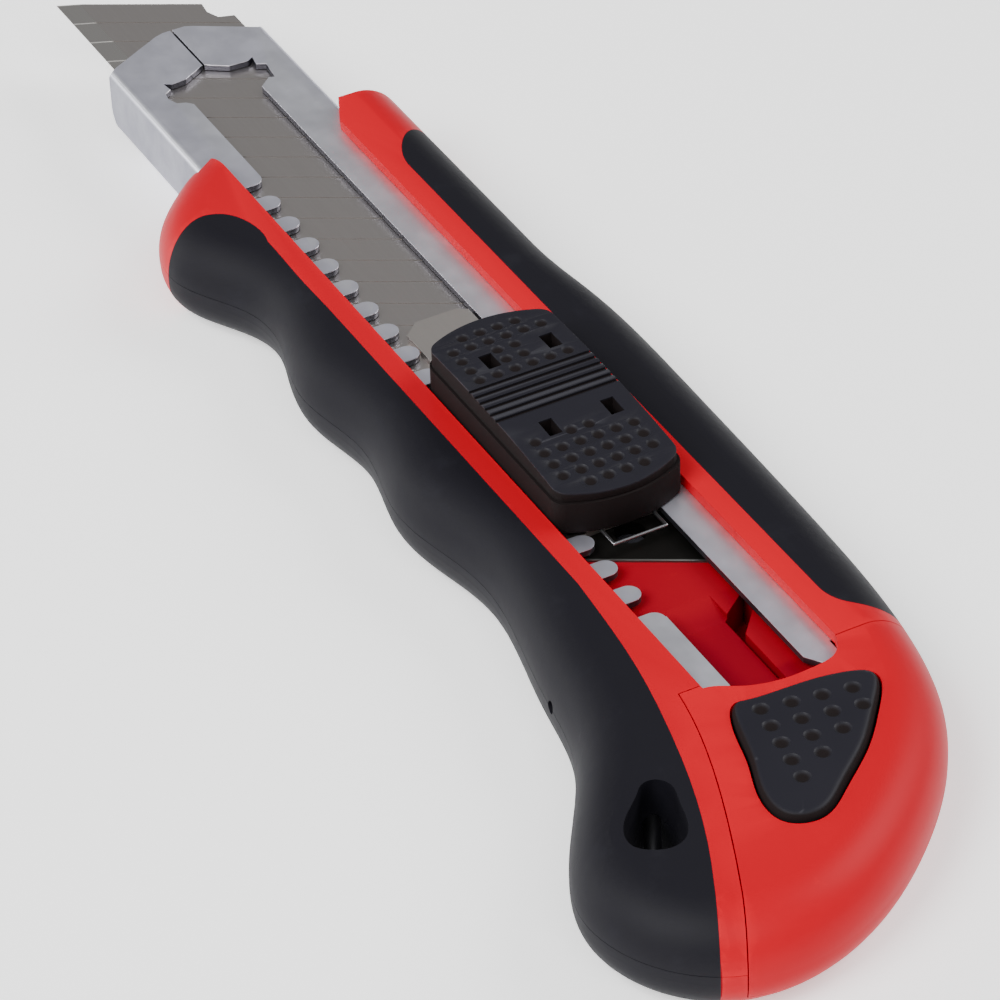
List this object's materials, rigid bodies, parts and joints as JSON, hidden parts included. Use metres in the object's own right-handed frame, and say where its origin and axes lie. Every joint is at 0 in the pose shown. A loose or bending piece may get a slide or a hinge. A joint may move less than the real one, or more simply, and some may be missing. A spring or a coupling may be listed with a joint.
{
  "type": "utility knife",
  "caption": "Heavy snap-off utility knife with a folded steel blade guide, red housing, sculpted soft grips, ribbed thumb slider and a pull-out spare-blade magazine with a release button",
  "frame": {"origin": "on the flat back face, midway along the overall length, under the blade's centre line", "axes": "+X towards the blade tip, +Y towards the finger grip, +Z out of the slider face"},
  "size_m": [0.1926, 0.0526, 0.0165],
  "materials": {
    "red_plastic": "satin moulded",
    "grip_rubber": "fine satin",
    "guide_steel": "satin folded sheet",
    "blade_steel": "ground",
    "carrier_steel": "stamped",
    "black_plastic": "moulded",
    "spring_steel": "rolled",
    "screw_steel": "plated"
  },
  "bodies": {
    "housing": {"blade_channel": "guide_steel", "finger_shell": "red_plastic", "palm_shell": "red_plastic", "back_shell": "red_plastic", "finger_grip_front": "grip_rubber", "finger_grip_back": "grip_rubber", "palm_grip_front": "grip_rubber", "palm_grip_back": "grip_rubber", "lanyard_pin": "spring_steel", "housing_screws": "screw_steel", "follower_spring": "spring_steel"},
    "slider": {"slider_body": "black_plastic", "slider_pad": "black_plastic", "blade_carrier": "carrier_steel", "detent_spring": "spring_steel", "pickup_spring": "spring_steel", "blade": "blade_steel"},
    "magazine": {"tail_cap": "red_plastic", "magazine_insert": "red_plastic", "button_spring": "spring_steel"},
    "button": {"release_button": "black_plastic"},
    "blade_stack": {"magazine_follower": "black_plastic", "spare_blade_1": "blade_steel", "spare_blade_2": "blade_steel", "spare_blade_3": "blade_steel"}
  },
  "joints": [
    {"name": "slider_slide", "type": "slide", "parent": "housing", "child": "slider", "axis": [1, 0, 0], "range_m": [-0.025, 0.05]},
    {"name": "magazine_pull", "type": "slide", "parent": "housing", "child": "magazine", "axis": [1, 0, 0], "range_m": [-0.024, 0]},
    {"name": "button_press", "type": "slide", "parent": "magazine", "child": "button", "axis": [0, 0, 1], "range_m": [-0.0012, 0], "stiffness_N_per_m": 500, "springref_m": 0.001, "deforming": ["button_spring"]},
    {"name": "follower_lift", "type": "slide", "parent": "housing", "child": "blade_stack", "axis": [0, 0, 1], "range_m": [-0.0016, 0], "stiffness_N_per_m": 300, "springref_m": 0.001, "deforming": ["follower_spring"]}
  ]
}
